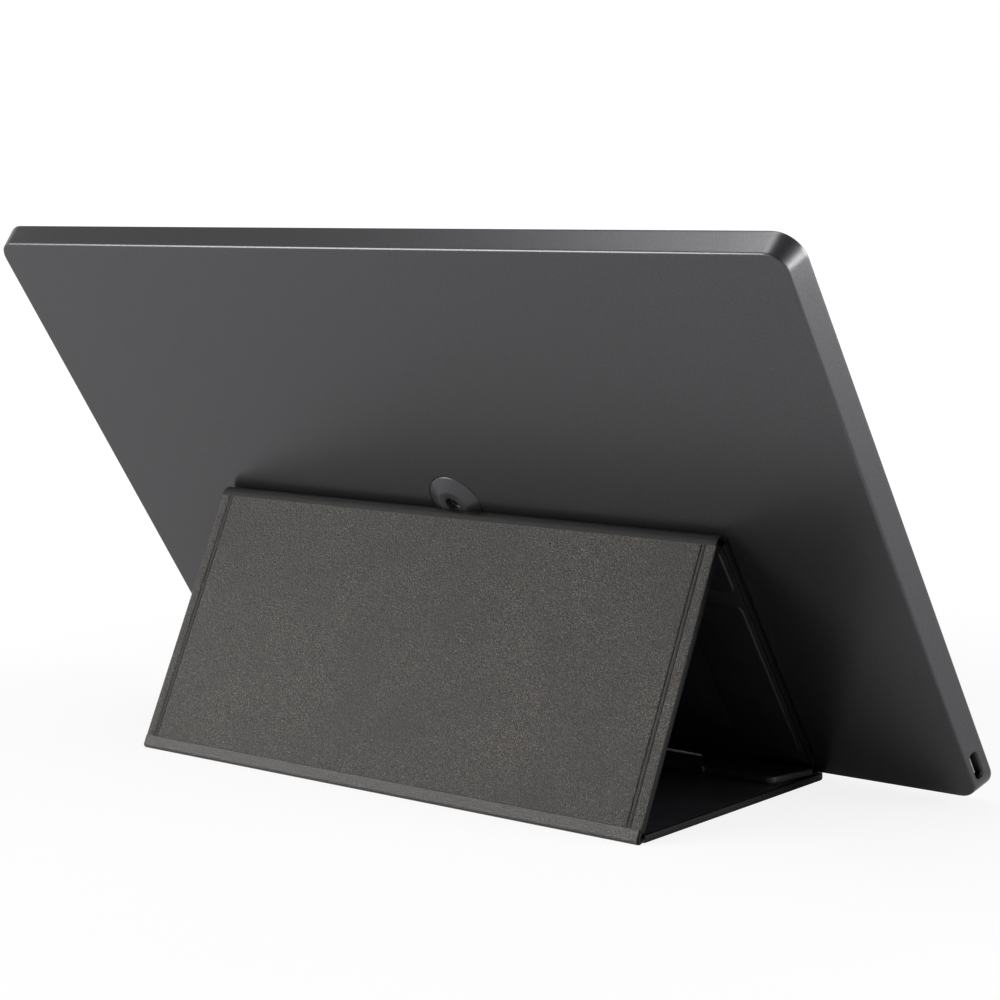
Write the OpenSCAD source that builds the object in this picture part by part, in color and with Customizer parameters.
// Portable monitor leaning on its folding cover, which is set up as a triangular stand.
// +X is to the right of someone facing the screen, +Y runs back past the stand, +Z is up.
// The screen faces -Y and up. The floor is z = 0, and the origin is under the whole's middle.

/* [Monitor] */
// Width across the front rim
monitor_w = 369.4; // [320:0.1:400]
// Height along the front rim
monitor_h = 237.5; // [220:0.1:260]
// Depth from the back face to the front rim
monitor_d = 8.8; // [8.8:0.1:12]
// How far each wall splays outward from the back face to the front rim
wall_splay = 2.7; // [1:0.1:4]
// Radius of the corners at the front rim
corner_r = 10; // [7:0.5:16]
// Chamfer round the back face
back_chamfer = 0.5; // [0.3:0.1:1]
// Thickness of the rear cover
shell_t = 1.5; // [1:0.1:1.6]
// Angle that the monitor leans back from upright
lean = 33.6; // [30:0.1:38]

/* [Screen stack] */
// Width of the bezel beside the picture
side_border = 12.6; // [12.6:0.1:30]
// Height of the bezel above the picture
top_border = 15; // [10:0.1:40]
// Height of the bezel below the picture
chin_h = 29; // [28:0.5:32]
// Thickness of the front bezel
bezel_t = 1.2; // [1:0.1:1.3]
// Thickness of the glass panel
glass_t = 1; // [0.6:0.1:1.1]
// Thickness of the optical films
film_t = 0.4; // [0.2:0.1:0.5]
// Thickness of the light guide
guide_t = 0.8; // [0.5:0.1:0.9]
// Thickness of the reflector sheet
reflector_t = 0.2; // [0.1:0.1:0.3]
// Thickness of the metal tray's floor and walls
tray_t = 0.3; // [0.2:0.1:0.4]
// How far the glass runs past the picture at the sides and the top
glass_margin = 3.5; // [2:0.5:4]
// Height of the glass ledge that takes the ribbon cable, below the picture
ledge_h = 4.5; // [4:0.5:6]
// Height of the light bar along the bottom of the light guide
led_bar_h = 1.2; // [0.8:0.1:2]
// How far the tray runs past the picture at the bottom
tray_below = 2; // [1.5:0.1:3]
// Distance from the tray's side to its screws
tray_ear = 2.6; // [2.4:0.1:2.8]
// Distance from the tray's ends to its screws
tray_screw_end = 40; // [20:1:80]

/* [Peg socket] */
// Height of the socket's centre above the monitor's bottom edge, along the back
socket_v = 117.5; // [100:0.1:140]
// Radius of the socket's raised cone at the back face
boss_r = 11.5; // [10:0.1:13]
// Radius of the cone's flat top
boss_tip_r = 6.4; // [5:0.1:8]
// How far the cone stands out of the back face
boss_h = 2.4; // [1.6:0.1:2.5]
// Gap round the cone in the cover's seat for it
boss_gap = 0.3; // [0.2:0.1:0.5]
// Radius of the hole in the middle
socket_r = 3; // [2:0.1:4]
// Depth of the hole from the cone's flat top
socket_deep = 3; // [1:0.1:3.2]
// Thickness of the socket's floor and inner flange
socket_floor = 0.5; // [0.3:0.1:0.6]
// Width of the flange inside the rear cover
socket_flange = 2; // [1:0.1:3]

/* [Electronics] */
// Length of the main board
board_l = 120; // [80:1:140]
// Height of the main board along the monitor's back
board_h = 17; // [14:0.5:18]
// Thickness of the circuit boards
pcb_t = 1; // [0.6:0.1:1.1]
// Distance from the main board to the side wall
board_gap = 2; // [1:0.1:4]
// Distance from the main board's end at the port to its first screw
board_screw_in = 24; // [16:1:30]
// Distance from the main board's other end to its second screw
board_screw_end = 8; // [5:1:12]
// Height of the main board's screws above its lower edge
board_screw_up = 4; // [3.5:0.1:5]
// Distance from the main board's end at the port to the largest chip
chip_x = 36; // [30:1:40]
// Spacing of the parts along the main board
chip_pitch = 18; // [14:1:18]
// Width of the largest chip
chip_w = 12; // [8:0.5:13]
// Height of the largest chip
chip_h = 7.2; // [5:0.1:8]
// Thickness of the largest chip
chip_t = 1; // [0.6:0.1:1]
// Width of the ribbon cable
ribbon_w = 40; // [20:1:44]
// Height of the port's centre above the monitor's bottom edge
port_v = 13; // [12:0.5:16]
// Distance of the port's centre from the back face
port_z = 3.6; // [3.4:0.1:4]
// Length of the port along the side wall
port_l = 11.6; // [9:0.1:12.5]
// Height of the port across the side wall
port_h = 3.4; // [3:0.1:3.6]
// Depth of the port's metal shell into the monitor
port_deep = 10; // [7:0.5:14]
// Wall of the port's metal shell
port_wall = 0.3; // [0.2:0.05:0.5]
// Width of the port's tongue
tongue_w = 7.2; // [5:0.1:8]
// Thickness of the port's tongue
tongue_t = 0.7; // [0.5:0.1:1]
// Distance from the port's mouth to the tip of its tongue
tongue_inset = 0.8; // [0.4:0.1:2]

/* [Keys] */
// Spacing of the keys along the bezel
key_pitch = 13; // [11:0.5:16]
// Width of a key
key_w = 8; // [5:0.5:9]
// Height of a key
key_h = 3.6; // [3:0.1:5]
// Height of the key row's centre above the bottom edge
key_v = 13; // [11:0.5:15]
// Distance of the last key's centre from the right-hand rim
key_inset = 34; // [30:1:60]
// How far a key stands out of the bezel
key_proud = 0.6; // [0.5:0.1:1]
// How far a key moves when it is pressed
key_travel = 0.4; // [0.2:0.05:0.4]
// Running gap round a key
key_gap = 0.2; // [0.1:0.05:0.4]
// Height of the board behind the keys
key_board_h = 10; // [8:0.5:12]

/* [Folding cover] */
// Width of the cover, the same as the monitor's height
cover_w = 237.5; // [220:0.1:260]
// Thickness of the leather skin
skin_t = 0.8; // [0.5:0.1:1.1]
// Thickness of the stiffening board
core_t = 1.4; // [1.2:0.1:2]
// Thickness of the smooth lining
lining_t = 0.6; // [0.4:0.1:1]
// Height of the pads pressed into the lining
pad_h = 0.5; // [0.3:0.1:0.8]
// Width of the leather turned over the board's edges
turned_edge = 1.2; // [0.8:0.1:3]
// Distance from the apex fold's axis down to the front panel's lower fold axis, along the panel
front_panel_l = 109.2; // [100:0.1:112]
// Distance from the monitor's bottom edge back to the rear fold's axis
stand_reach = 113.6; // [106:0.1:122]
// How far the base panel runs forward, under the monitor's bottom edge
base_toe = 3; // [1:0.1:6]
// Gap between the monitor's back and the front panel
lean_gap = 0.5; // [0.3:0.1:0.9]
// Space left between two panels when they are folded together, beyond their pads
fold_slack = 0.3; // [0.3:0.1:1]
// Gap between parts that swing past each other at a fold
fold_gap = 0.3; // [0.3:0.05:0.6]
// Radius of the base panel's front corners
base_corner_r = 4; // [1:0.5:8]

/* [Tabs and pads] */
// Length of a tab from its fold's axis
tab_l = 25; // [18:0.5:30]
// Distance between the two tabs at their folds
tab_root_gap = 140; // [110:1:160]
// Distance between the two tabs at their free edges
tab_tip_gap = 170; // [150:1:180]
// How much narrower the outer side of a tab is at its free edge
tab_taper = 4; // [2:0.5:8]
// Radius of a tab's free corners
tab_corner_r = 4; // [2:0.5:6]
// Width of the black grip strip let into the base's lining between the tabs
strip_w = 166; // [100:1:168]
// Length of the grip strip from front to back
strip_l = 20; // [10:0.5:24]
// Distance from the front panel's fold back to the grip strip
strip_gap = 2; // [1:0.1:6]
// Distance between the pads of the two side borders
pad_inner_gap = 180; // [150:1:190]
// Width of the plain border outside the pads
pad_border = 3; // [2:0.5:6]
// Radius of the pads' corners
pad_corner_r = 3; // [1:0.5:6]
// Length of the crease between the long and the short pad of the front panel
crease_l = 6; // [4:0.5:10]
// Length of the front panel's short pad
short_pad_l = 19.5; // [12:0.5:30]
// Length left plain at a panel's end before its pad
pad_end = 6; // [4:0.5:10]
// Width of the magnets
magnet_w = 16; // [8:1:22]
// Length of the magnets
magnet_l = 8; // [5:1:12]
// Thickness of the magnets
magnet_t = 1; // [0.6:0.1:1.1]

/* [Fasteners] */
// Radius of a screw's shank
screw_r = 0.8; // [0.5:0.1:1]
// Radius of a screw's head
screw_head_r = 1.6; // [1.2:0.1:2]
// Height of a screw's head
screw_head_t = 0.5; // [0.3:0.1:0.6]
// Radius of the posts that the screws go into
post_r = 2.6; // [2:0.1:2.8]
// Space left under a screw's tip
screw_tip_gap = 0.5; // [0.3:0.1:0.8]
// Gap between parts that slide into each other
fit_gap = 0.1; // [0.05:0.05:0.2]

/* [Hidden] */

$fn = 64;
corner_fn = 48;
eps = 0.01;

// Cover panels: thickness and the radii of the folds, measured to the outer faces
panel_t = skin_t + core_t + lining_t;
edge_fold_r = panel_t / 2;
apex_fold_r = panel_t + pad_h + fold_slack / 2;

// Places in the plane across the folds, as [y, z] with y = 0 at the monitor's bottom edge
function along_back(v, w) = [v * sin(lean) + w * cos(lean), panel_t + v * cos(lean) - w * sin(lean)];
lower_fold_w = lean_gap + edge_fold_r;
lower_fold_z = panel_t + fold_gap + edge_fold_r;
lower_fold_v = (lower_fold_z - panel_t + lower_fold_w * sin(lean)) / cos(lean);
lower_axis = along_back(lower_fold_v, lower_fold_w);
apex_axis = along_back(lower_fold_v + front_panel_l, lean_gap + apex_fold_r);
rear_axis = [stand_reach, edge_fold_r];
rear_span = norm(apex_axis - rear_axis);
rear_angle = atan2(apex_axis[1] - rear_axis[1], apex_axis[0] - rear_axis[0])
    - asin((apex_fold_r - edge_fold_r) / rear_span);
rear_panel_l = sqrt(rear_span * rear_span - pow(apex_fold_r - edge_fold_r, 2));
front_angle = 270 - lean;
apex_turn = front_angle - rear_angle;
base_l = stand_reach + base_toe;

// Plain ends that let the boards close up at the folds
rear_setback = edge_fold_r / tan((180 - rear_angle) / 2) + fold_gap;
tab_setback = edge_fold_r / tan((90 - lean) / 2) + fold_gap;

// The middle of the whole in Y, so that the origin lies under it
front_rim_y = -monitor_d * cos(lean) - wall_splay * sin(lean);
top_edge_y = (monitor_h - 2 * wall_splay) * sin(lean);
middle_y = (front_rim_y + max(top_edge_y, stand_reach + edge_fold_r)) / 2;

// Screen stack, counted from the back face towards the screen
bezel_z = monitor_d - bezel_t;
glass_z = bezel_z - fit_gap - glass_t;
film_z = glass_z - film_t;
guide_z = film_z - guide_t;
reflector_z = guide_z - reflector_t;
tray_z = reflector_z - tray_t;
picture_w = monitor_w - 2 * side_border;
picture_h = monitor_h - chin_h - top_border;
glass_w = picture_w + 2 * glass_margin;
picture_bottom = chin_h - wall_splay;
glass_bottom = picture_bottom - ledge_h;
glass_top = picture_bottom + picture_h + glass_margin;
tray_bottom = picture_bottom - tray_below;
wall_at = function(z) wall_splay * z / monitor_d;

// Boards and ports
board_z = port_z + port_h / 2;
board_left = -monitor_w / 2 + wall_splay + shell_t + board_gap;
board_bottom = port_v - board_h / 2 - 1;
port_mouth_x = -monitor_w / 2 + wall_splay - wall_at(port_z) + shell_t / 2;
ribbon_x = board_left + board_l - board_screw_end - ribbon_w;
ribbon_overlap = 4;
ribbon_gap = 0.3;
ribbon_bottom = board_bottom + board_h - ribbon_overlap;
// Each part's width, height and thickness, as shares of the largest chip's
chip_shares = [[1, 1, 1], [0.6, 0.8, 1.2], [0.4, 0.55, 2], [0.75, 0.55, 0.9]];

// Keys
key_names = ["power", "menu", "down", "up"];
key_first_x = monitor_w / 2 - key_inset - key_pitch * (len(key_names) - 1);
key_flange_t = 0.5;
key_flange_z = bezel_z - fit_gap - key_flange_t;
key_flange_over = 0.6;
key_stem_r = 0.9;
switch_size = 4.4;
switch_h = 1.2;
key_board_z = key_flange_z - key_travel - fit_gap - switch_h - pcb_t;
key_stem_bottom = key_board_z + pcb_t + key_travel + fit_gap;
key_board_over = 7;
light_x = key_first_x - key_pitch;
light_r = 0.8;

// Posts and screws
board_post_x = [board_left + board_screw_in, board_left + board_l - board_screw_end];
board_post_v = board_bottom + board_screw_up;
key_post_x = [light_x - key_board_over / 2, key_first_x + key_pitch * (len(key_names) - 0.5)];
tray_post_x = glass_w / 2 + tray_ear;
tray_post_v = [tray_bottom + tray_screw_end, glass_top - tray_screw_end];

// Cover details
turned_w = cover_w - 2 * turned_edge;
pad_w = (cover_w - pad_inner_gap) / 2 - pad_border;
tab_tip_w = (cover_w - tab_tip_gap) / 2 - tab_taper;
strip_y = base_toe + lower_axis[0] + strip_gap;
magnet_x = tab_tip_gap / 2 + tab_tip_w / 2;

leather_colour = "#4d4a47";
lining_colour = "#26262a";
core_colour = "#6f675d";
case_colour = "#47474a";
metal_colour = "#a8abb0";
board_colour = "#1f4a35";

// ---------- helpers ----------

// Puts children, drawn with x right, y up the back and z towards the screen, on the leaning monitor
module on_monitor() {
    translate([0, -middle_y, panel_t]) rotate([90 - lean, 0, 0]) children();
}

// Puts children, drawn with x across, y along the panel and z from its outer face inwards
module on_panel(axis, angle, fold_r) {
    translate([0, axis[0] - middle_y, axis[1]]) rotate([angle, 0, 0]) translate([0, 0, -fold_r])
        children();
}

module on_base() {
    translate([0, -base_toe - middle_y, 0]) children();
}

module on_rear() {
    on_panel(rear_axis, rear_angle, edge_fold_r) children();
}

module on_front() {
    on_panel(apex_axis, front_angle, apex_fold_r) children();
}

module on_tab(side) {
    on_panel(lower_axis, 360, edge_fold_r) mirror([side < 0 ? 1 : 0, 0, 0]) children();
}

// A slab centred in x
module slab(w, y0, y1, z0, z1) {
    translate([-w / 2, y0, z0]) cube([w, y1 - y0, z1 - z0]);
}

// A slab between two x values
module bar(x0, x1, y0, y1, z0, z1) {
    translate([x0, y0, z0]) cube([x1 - x0, y1 - y0, z1 - z0]);
}

// A cylinder along x, centred
module rod(w, r, y, z) {
    translate([-w / 2, y, z]) rotate([0, 90, 0]) cylinder(h = w, r = r);
}

// A slab with rounded upright edges
module rounded_slab(x0, x1, y0, y1, z0, z1, r) {
    bar(x0 + r, x1 - r, y0, y1, z0, z1);
    bar(x0, x1, y0 + r, y1 - r, z0, z1);
    for (x = [x0 + r, x1 - r], y = [y0 + r, y1 - r])
        translate([x, y, z0]) cylinder(h = z1 - z0, r = r);
}

// The monitor's outline at a depth z, drawn in by inset, as four corner discs for a hull
module corner_discs(z, inset) {
    grow = wall_at(z) - inset;
    r = corner_r - wall_splay + grow;
    w = monitor_w / 2 - corner_r;
    h = monitor_h - wall_splay - corner_r;
    for (x = [-w, w], y = [corner_r - wall_splay, h])
        translate([x, y, z]) cylinder(h = eps, r = r, $fn = corner_fn);
}

// ---------- monitor ----------

module rear_cover_outside() {
    hull() {
        corner_discs(0, back_chamfer);
        corner_discs(back_chamfer, 0);
        corner_discs(monitor_d - eps, 0);
    }
}

module rear_cover_inside() {
    hull() {
        corner_discs(shell_t, shell_t);
        corner_discs(monitor_d + eps, shell_t);
    }
}

module post(x, v, top) {
    difference() {
        translate([x, v, shell_t - eps]) cylinder(h = top - shell_t + eps, r = post_r);
        translate([x, v, shell_t]) cylinder(h = top, r = screw_r);
    }
}

module rear_cover() {
    color(case_colour) on_monitor() {
        difference() {
            rear_cover_outside();
            rear_cover_inside();
            translate([0, socket_v, -eps]) cylinder(h = shell_t + 1, r = boss_r);
            port_opening();
        }
        for (x = board_post_x) post(x, board_post_v, board_z);
        for (x = key_post_x) post(x, key_v, key_board_z);
        for (x = [-tray_post_x, tray_post_x], v = tray_post_v) post(x, v, tray_z);
    }
}

module port_opening() {
    half = port_l / 2 - port_h / 2 + fit_gap;
    r = port_h / 2 + fit_gap;
    for (side = [-1, 1])
        translate([-monitor_w / 2 - 1, port_v + side * half, port_z]) rotate([0, 90, 0])
            cylinder(h = wall_splay + shell_t + 2, r = r);
    bar(-monitor_w / 2 - 1, -monitor_w / 2 + wall_splay + shell_t + 1,
        port_v - half, port_v + half, port_z - r, port_z + r);
}

// The raised cone in the back, with the hole that a round peg goes into
module peg_socket() {
    color(case_colour) on_monitor() translate([0, socket_v, 0]) rotate_extrude()
        polygon([[0, socket_deep - boss_h], [socket_r, socket_deep - boss_h],
            [socket_r, -boss_h], [boss_tip_r, -boss_h], [boss_r, 0], [boss_r, shell_t],
            [boss_r + socket_flange, shell_t], [boss_r + socket_flange, shell_t + socket_floor],
            [0, shell_t + socket_floor]]);
}

// The seat in the cover that takes the socket's cone
module socket_seat() {
    deep = boss_h + boss_gap;
    out = 1;
    slope = (boss_r - boss_tip_r) / boss_h;
    on_monitor() translate([0, socket_v, -deep])
        cylinder(h = deep + out, r1 = boss_tip_r + boss_gap,
            r2 = boss_tip_r + boss_gap + slope * (deep + out), $fn = corner_fn);
}

module front_bezel() {
    inset = wall_splay - wall_at(bezel_z) + shell_t + fit_gap;
    w = monitor_w / 2 - inset;
    y0 = -wall_splay + inset;
    y1 = monitor_h - wall_splay - inset;
    color("#1b1b1d") on_monitor() difference() {
        rounded_slab(-w, w, y0, y1, bezel_z, monitor_d, corner_r - inset);
        slab(picture_w, picture_bottom, picture_bottom + picture_h, bezel_z - 1, monitor_d + 1);
        for (i = [0 : len(key_names) - 1])
            translate([key_first_x + i * key_pitch, key_v, bezel_z - 1])
                key_outline(key_gap, bezel_t + 2);
        translate([light_x, key_v, bezel_z - 1]) cylinder(h = bezel_t + 2, r = light_r + fit_gap);
    }
}

module lcd_glass() {
    color("#0b0c10") on_monitor() slab(glass_w, glass_bottom, glass_top, glass_z, glass_z + glass_t);
}

module optical_films() {
    color("#e8e8ea") on_monitor()
        slab(glass_w - 2 * tray_t, tray_bottom + tray_t, glass_top - tray_t, film_z, glass_z);
}

module light_guide() {
    color("#dfe7ea") on_monitor()
        slab(glass_w - 2 * tray_t, tray_bottom + tray_t + led_bar_h, glass_top - tray_t,
            guide_z, film_z);
}

module reflector_sheet() {
    color("#f4f4f4") on_monitor()
        slab(glass_w - 2 * tray_t, tray_bottom + tray_t, glass_top - tray_t, reflector_z, guide_z);
}

module light_bar() {
    color("#e6d9a0") on_monitor()
        slab(glass_w - 2 * tray_t, tray_bottom + tray_t, tray_bottom + tray_t + led_bar_h,
            guide_z, film_z);
}

// The shallow metal tray that holds the backlight, with an ear at each screw post
module panel_tray() {
    color(metal_colour) on_monitor() difference() {
        union() {
            slab(glass_w, tray_bottom, glass_top, tray_z, glass_z);
            for (v = tray_post_v)
                rounded_slab(-tray_post_x - post_r, tray_post_x + post_r, v - post_r, v + post_r,
                    tray_z, tray_z + tray_t, post_r - eps);
        }
        slab(glass_w - 2 * tray_t, tray_bottom + tray_t, glass_top - tray_t, reflector_z,
            glass_z + 1);
        for (x = [-tray_post_x, tray_post_x], v = tray_post_v)
            translate([x, v, tray_z - 1]) cylinder(h = tray_t + 2, r = screw_r);
    }
}

module screw(x, v, seat, length) {
    translate([x, v, seat]) cylinder(h = screw_head_t, r = screw_head_r);
    translate([x, v, seat - length]) cylinder(h = length, r = screw_r);
}

module tray_screws() {
    color(metal_colour) on_monitor()
        for (x = [-tray_post_x, tray_post_x], v = tray_post_v)
            screw(x, v, tray_z + tray_t, tray_z + tray_t - shell_t - screw_tip_gap);
}

module main_board() {
    color(board_colour) on_monitor() difference() {
        bar(board_left, board_left + board_l, board_bottom, board_bottom + board_h,
            board_z, board_z + pcb_t);
        for (x = board_post_x)
            translate([x, board_post_v, board_z - 1]) cylinder(h = pcb_t + 2, r = screw_r);
    }
}

// Chips and coils on the side of the board that faces the back
module board_parts() {
    color("#18181a") on_monitor()
        for (i = [0 : len(chip_shares) - 1]) {
            x = board_left + chip_x + i * chip_pitch;
            v = port_v + chip_h / 2;
            bar(x, x + chip_w * chip_shares[i][0], v - chip_h * chip_shares[i][1], v,
                board_z - chip_t * chip_shares[i][2], board_z);
        }
}

module board_screws() {
    color(metal_colour) on_monitor() {
        for (x = board_post_x)
            screw(x, board_post_v, board_z + pcb_t, board_z + pcb_t - shell_t - screw_tip_gap);
        for (x = key_post_x)
            screw(x, key_v, key_board_z + pcb_t, key_board_z + pcb_t - shell_t - screw_tip_gap);
    }
}

// A rounded bar along x, for the port's shell and its hollow
module port_bar(x0, x1, l, h) {
    half = l / 2 - h / 2;
    for (side = [-1, 1])
        translate([x0, port_v + side * half, port_z]) rotate([0, 90, 0])
            cylinder(h = x1 - x0, r = h / 2);
    bar(x0, x1, port_v - half, port_v + half, port_z - h / 2, port_z + h / 2);
}

module port_shell() {
    color(metal_colour) on_monitor() difference() {
        port_bar(port_mouth_x, port_mouth_x + port_deep, port_l, port_h);
        port_bar(port_mouth_x - 1, port_mouth_x + port_deep - port_wall,
            port_l - 2 * port_wall, port_h - 2 * port_wall);
    }
}

module port_tongue() {
    color("#e9e9e6") on_monitor()
        bar(port_mouth_x + tongue_inset, port_mouth_x + port_deep - port_wall,
            port_v - tongue_w / 2, port_v + tongue_w / 2,
            port_z - tongue_t / 2, port_z + tongue_t / 2);
}

// The flat ribbon from the board's front to the back of the glass ledge
module panel_ribbon() {
    color("#b07a2c") on_monitor()
        bar(ribbon_x, ribbon_x + ribbon_w, ribbon_bottom, tray_bottom - ribbon_gap,
            board_z + pcb_t, glass_z);
}

module key_board() {
    last_x = key_first_x + key_pitch * (len(key_names) - 1);
    color(board_colour) on_monitor() difference() {
        bar(light_x - key_board_over, last_x + key_pitch,
            key_v - key_board_h / 2, key_v + key_board_h / 2, key_board_z, key_board_z + pcb_t);
        for (x = key_post_x)
            translate([x, key_v, key_board_z - 1]) cylinder(h = pcb_t + 2, r = screw_r);
    }
}

// One switch can under each key, bored for the key's stem
module key_switches() {
    color("#2b2b2d") on_monitor()
        for (i = [0 : len(key_names) - 1])
            translate([key_first_x + i * key_pitch, key_v, key_board_z + pcb_t]) difference() {
                translate([-switch_size / 2, -switch_size / 2, 0])
                    cube([switch_size, switch_size, switch_h]);
                cylinder(h = switch_h * 3, r = key_stem_r + fit_gap, center = true);
            }
}

module power_light() {
    color("#dfe9f2") on_monitor() translate([light_x, key_v, key_board_z + pcb_t])
        cylinder(h = monitor_d - key_board_z - pcb_t, r = light_r);
}

// The outline of a key, grown by gap
module key_outline(gap, h) {
    r = key_h / 2 + gap;
    half = key_w / 2 - key_h / 2;
    for (side = [-1, 1]) translate([side * half, 0, 0]) cylinder(h = h, r = r);
    translate([-half, -r, 0]) cube([2 * half, 2 * r, h]);
}

// A key with the flange that keeps it in and the stem that reaches its switch
module key(i) {
    color("#2c2c2f") on_monitor() translate([key_first_x + i * key_pitch, key_v, 0]) {
        translate([0, 0, key_flange_z + key_flange_t])
            key_outline(0, monitor_d + key_proud - key_flange_z - key_flange_t);
        translate([0, 0, key_flange_z]) key_outline(key_flange_over, key_flange_t);
        translate([0, 0, key_stem_bottom])
            cylinder(h = key_flange_z - key_stem_bottom, r = key_stem_r);
    }
}

module power_key() { key(0); }
module menu_key() { key(1); }
module down_key() { key(2); }
module up_key() { key(3); }

// ---------- cover panels ----------

// The leather of one panel: a shallow tray with turned edges, open to the lining side.
// Its outer layer runs on past the full thickness as a tongue towards a fold.
module skin(length, setback, tongue_start, tongue_end) {
    difference() {
        union() {
            slab(cover_w, setback[0], length - setback[1], 0, panel_t);
            slab(cover_w, tongue_start, length - tongue_end, 0, skin_t);
        }
        slab(turned_w, setback[0] + turned_edge, length - setback[1] - turned_edge,
            skin_t, panel_t + 1);
    }
}

module core(length, setback) {
    slab(turned_w, setback[0] + turned_edge, length - setback[1] - turned_edge,
        skin_t, skin_t + core_t);
}

module lining(length, setback) {
    slab(turned_w, setback[0] + turned_edge, length - setback[1] - turned_edge,
        skin_t + core_t, panel_t);
}

// A pair of pads, one in each side border, from y0 to y1 along a panel
module pads(y0, y1) {
    for (side = [-1, 1]) {
        x0 = side > 0 ? pad_inner_gap / 2 : -pad_inner_gap / 2 - pad_w;
        rounded_slab(x0, x0 + pad_w, y0, y1, panel_t, panel_t + pad_h, pad_corner_r);
    }
}

module fold_clearance(y) {
    rod(cover_w + 2, edge_fold_r + fold_gap, y, edge_fold_r);
}

base_setback = [0, rear_setback];
rear_setbacks = [rear_setback, 0];
front_setback = [fold_gap, tab_setback];

module base_skin() {
    color(leather_colour) on_base() difference() {
        skin(base_l, base_setback, 0, 0);
        fold_clearance(base_l);
        for (side = [-1, 1]) base_corner_cut(side);
    }
}

// What is cut off a square front corner to leave it round
module base_corner_cut(side) {
    translate([side * cover_w / 2, 0, -1]) difference() {
        cube([2 * base_corner_r, 2 * base_corner_r, 2 * panel_t + 4], center = true);
        translate([-side * base_corner_r, base_corner_r, -panel_t - 4])
            cylinder(h = 2 * panel_t + 8, r = base_corner_r);
    }
}

module base_core() {
    color(core_colour) on_base() difference() {
        core(base_l, base_setback);
        for (side = [-1, 1]) base_magnet(side);
        for (side = [-1, 1]) base_corner_cut(side);
    }
}

module base_lining() {
    color(lining_colour) on_base() difference() {
        union() {
            lining(base_l, base_setback);
            pads(base_toe + lower_axis[0] + tab_l + pad_end, base_l - rear_setback - pad_end);
        }
        slab(strip_w, strip_y, strip_y + strip_l, panel_t - lining_t - 1, panel_t + 1);
        for (side = [-1, 1]) base_corner_cut(side);
    }
}

module grip_strip() {
    color("#0c0c0e") on_base()
        slab(strip_w, strip_y, strip_y + strip_l, panel_t - lining_t, panel_t);
}

module magnet(x, y, z) {
    bar(x - magnet_w / 2, x + magnet_w / 2, y - magnet_l / 2, y + magnet_l / 2, z, z + magnet_t);
}

module base_magnet(side) {
    magnet(side * magnet_x, base_toe + lower_axis[0] + tab_l / 2, skin_t + core_t - magnet_t);
}

module base_magnets() {
    color(metal_colour) on_base() for (side = [-1, 1]) base_magnet(side);
}

// The rolled leather edge at the rear-bottom fold, round the fold's axis
module rear_fold() {
    color(leather_colour) on_base() rod(cover_w, edge_fold_r, base_l, edge_fold_r);
}

module rear_skin() {
    color(leather_colour) on_rear() difference() {
        skin(rear_panel_l, rear_setbacks, 0, 0);
        fold_clearance(0);
    }
}

module rear_core() {
    color(core_colour) on_rear() core(rear_panel_l, rear_setbacks);
}

module rear_lining() {
    color(lining_colour) on_rear() {
        lining(rear_panel_l, rear_setbacks);
        pads(rear_setback + pad_end, rear_panel_l - pad_end);
    }
}

// The rounded leather spine at the apex: the part of a round bar between the two panels' ends
module apex_fold() {
    reach = apex_fold_r + 1;
    gap_turn = fold_gap / apex_fold_r * 180 / PI;
    color(leather_colour) difference() {
        on_rear() translate([0, rear_panel_l, apex_fold_r]) intersection() {
            rod(cover_w, apex_fold_r, 0, 0);
            slab(cover_w, 0, reach, -reach, reach);
            rotate([apex_turn - gap_turn, 0, 0]) slab(cover_w, -reach, 0, -reach, reach);
        }
        socket_seat();
    }
}

// Between the tabs the front panel stops short of the fold
module front_slot() {
    slab(tab_root_gap, front_panel_l - tab_setback, front_panel_l + 5, -1, panel_t + 2);
}

module front_skin() {
    color(leather_colour) difference() {
        on_front() skin(front_panel_l, front_setback, fold_gap, 0);
        on_front() fold_clearance(front_panel_l);
        on_front() front_slot();
        socket_seat();
    }
}

module front_core() {
    color(core_colour) difference() {
        on_front() core(front_panel_l, front_setback);
        socket_seat();
    }
}

module front_lining() {
    short_end = pad_end / 2 + short_pad_l;
    color(lining_colour) on_front() {
        lining(front_panel_l, front_setback);
        pads(pad_end / 2, short_end);
        pads(short_end + crease_l, front_panel_l - tab_setback - pad_end);
    }
}

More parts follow.
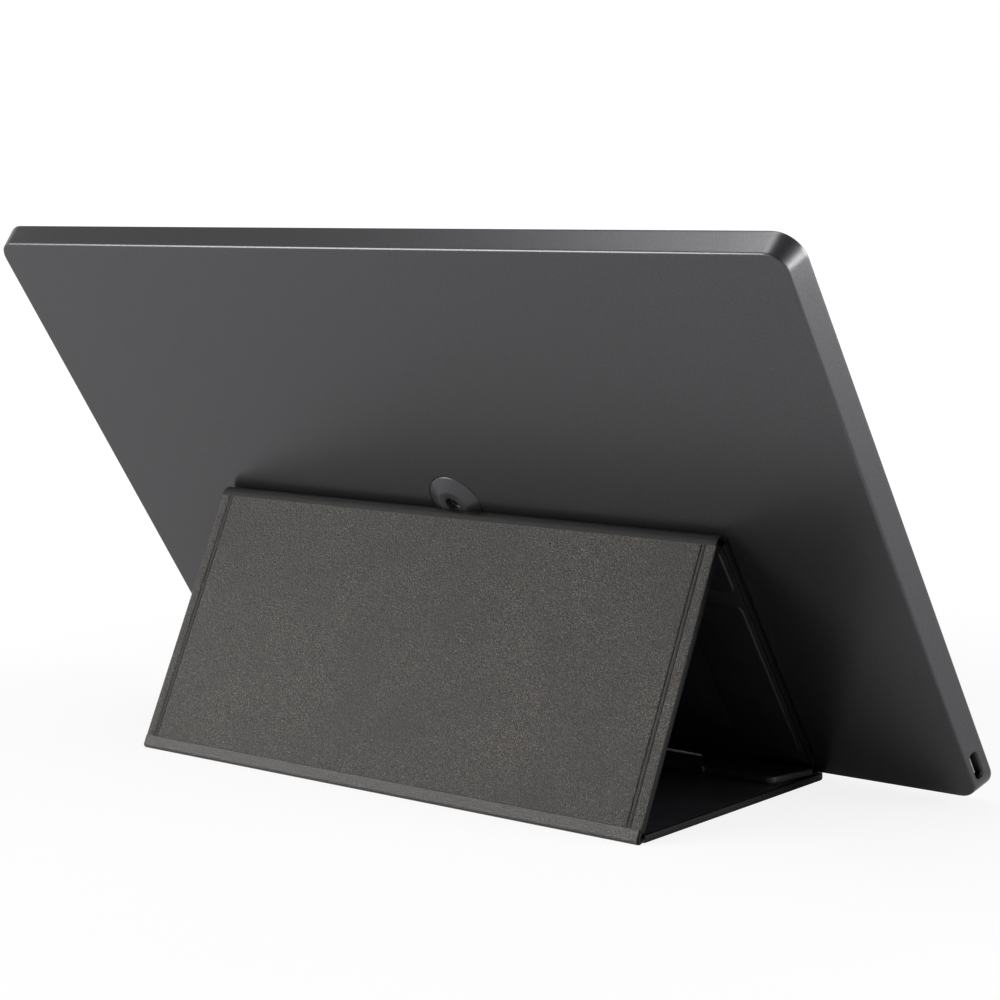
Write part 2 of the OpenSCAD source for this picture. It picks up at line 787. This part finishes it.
// A tab's outline, drawn in by inset, for the right-hand side
module tab_outline(inset, z0, z1) {
    r = tab_corner_r - inset;
    x_in = tab_root_gap / 2;
    x_out = cover_w / 2;
    translate([0, 0, z0]) linear_extrude(z1 - z0) hull() {
        translate([x_in + inset, tab_setback + inset])
            square([x_out - x_in - 2 * inset, eps]);
        translate([tab_tip_gap / 2 + tab_corner_r, tab_l - tab_corner_r]) circle(r = r, $fn = 32);
        translate([x_out - tab_taper - tab_corner_r, tab_l - tab_corner_r])
            circle(r = r, $fn = 32);
    }
}

// The tab's leather, with the rolled edge that it folds on
module tab_skin(side) {
    x_in = tab_root_gap / 2;
    color(leather_colour) on_tab(side) {
        difference() {
            tab_outline(0, 0, panel_t);
            tab_outline(turned_edge, skin_t, panel_t + 1);
        }
        difference() {
            bar(x_in, cover_w / 2, 0, tab_setback, 0, skin_t);
            rod(2 * cover_w, edge_fold_r, 0, edge_fold_r);
        }
        translate([x_in, 0, edge_fold_r]) rotate([0, 90, 0])
            cylinder(h = cover_w / 2 - x_in, r = edge_fold_r);
    }
}

module tab_magnet(side) {
    on_tab(side) magnet(magnet_x, tab_l / 2 + 1, skin_t + core_t - magnet_t);
}

module tab_core(side) {
    color(core_colour) difference() {
        on_tab(side) tab_outline(turned_edge, skin_t, skin_t + core_t);
        tab_magnet(side);
    }
}

module tab_lining(side) {
    color(lining_colour) on_tab(side) tab_outline(turned_edge, skin_t + core_t, panel_t);
}

module left_tab_skin() { tab_skin(-1); }
module left_tab_core() { tab_core(-1); }
module left_tab_lining() { tab_lining(-1); }
module left_tab_magnet() { color(metal_colour) tab_magnet(-1); }
module right_tab_skin() { tab_skin(1); }
module right_tab_core() { tab_core(1); }
module right_tab_lining() { tab_lining(1); }
module right_tab_magnet() { color(metal_colour) tab_magnet(1); }

rear_cover();
peg_socket();
front_bezel();
lcd_glass();
optical_films();
light_guide();
reflector_sheet();
light_bar();
panel_tray();
tray_screws();
main_board();
board_parts();
board_screws();
port_shell();
port_tongue();
panel_ribbon();
key_board();
key_switches();
power_light();
power_key();
menu_key();
down_key();
up_key();
base_skin();
base_core();
base_lining();
base_magnets();
grip_strip();
rear_fold();
rear_skin();
rear_core();
rear_lining();
apex_fold();
front_skin();
front_core();
front_lining();
left_tab_skin();
left_tab_core();
left_tab_lining();
left_tab_magnet();
right_tab_skin();
right_tab_core();
right_tab_lining();
right_tab_magnet();
